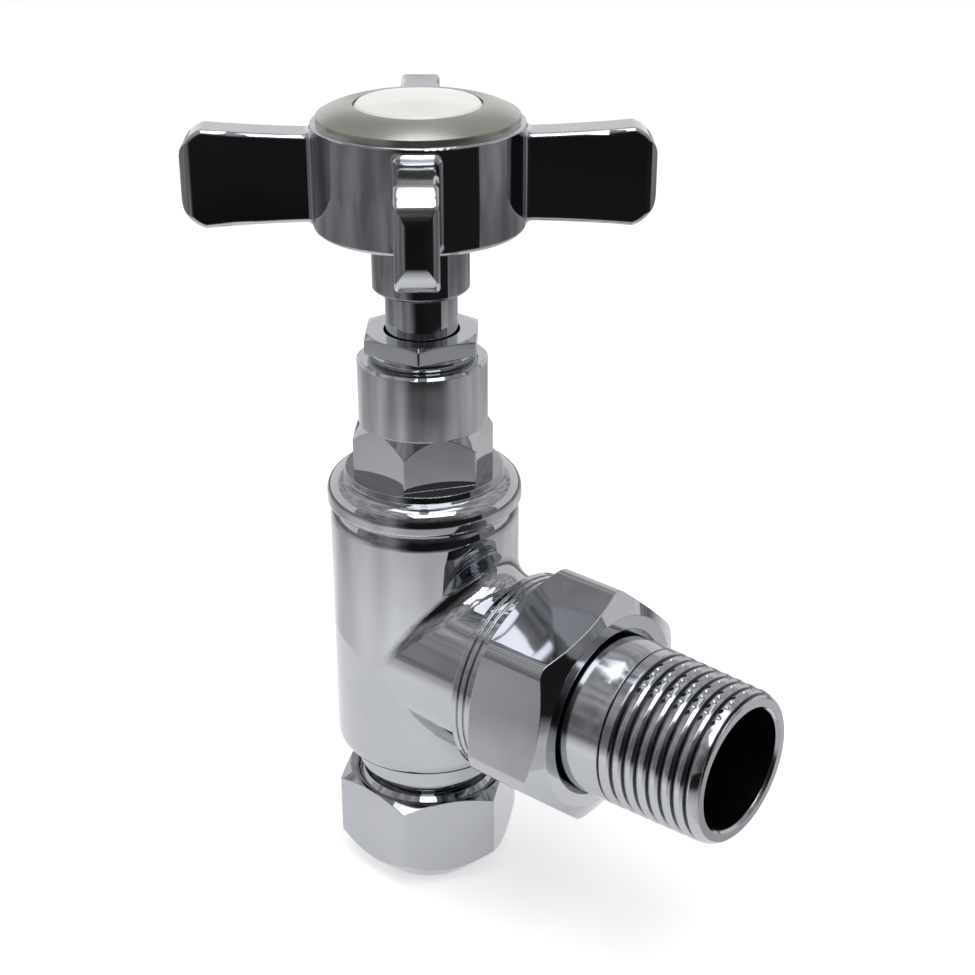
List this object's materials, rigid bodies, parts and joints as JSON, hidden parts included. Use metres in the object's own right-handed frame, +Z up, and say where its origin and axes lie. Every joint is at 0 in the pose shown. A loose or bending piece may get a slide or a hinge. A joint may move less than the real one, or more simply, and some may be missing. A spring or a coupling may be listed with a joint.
{
  "type": "manual radiator valve",
  "caption": "Chrome angle radiator valve with a cross handle: turning the handle screws the spindle up or down and moves a rubber washer off or onto its seat.",
  "frame": {"origin": "centre of the pipe opening in the bottom face of the compression nut", "axes": "+Z up the pipe and spindle axis, +X along the tail towards the radiator"},
  "size_m": [0.0758, 0.046, 0.1115],
  "materials": {
    "polished_chrome": "mirror polish",
    "satin_chrome": "satin turned",
    "white_ceramic": "gloss glaze",
    "raw_brass": "turned",
    "black_rubber": "matt",
    "fibre": "matt pressed fibre",
    "packing_cord": "waxed braid",
    "bright_steel": "bright zinc"
  },
  "bodies": {
    "fixed_valve": {"valve_body": "polished_chrome", "compression_nut": "polished_chrome", "olive": "raw_brass", "union_nut": "polished_chrome", "union_washer": "fibre", "tailpiece": "polished_chrome", "bonnet": "polished_chrome", "bonnet_o_ring": "black_rubber", "gland_packing": "packing_cord", "gland_washer": "raw_brass", "gland_nut": "polished_chrome"},
    "jumper_set": {"jumper": "raw_brass", "jumper_ring": "bright_steel", "valve_washer": "black_rubber", "washer_screw": "raw_brass"},
    "handle_set": {"spindle": "polished_chrome", "handle": "polished_chrome", "spring_washer": "bright_steel", "handle_screw": "bright_steel", "cap_ring": "satin_chrome", "index_disc": "white_ceramic"}
  },
  "joints": [
    {"name": "jumper_lift", "type": "slide", "parent": "fixed_valve", "child": "jumper_set", "axis": [0, 0, 1], "range_m": [-0.00396, 0.001]},
    {"name": "handle_turn", "type": "hinge", "parent": "jumper_set", "child": "handle_set", "pos_m": [0, 0, 0.08], "axis": [0, 0, 1], "range_deg": [-712, 180]}
  ],
  "couplings": [
    {"joint": "jumper_lift", "follows": "handle_turn", "m_per_rad": 0.00031831}
  ]
}
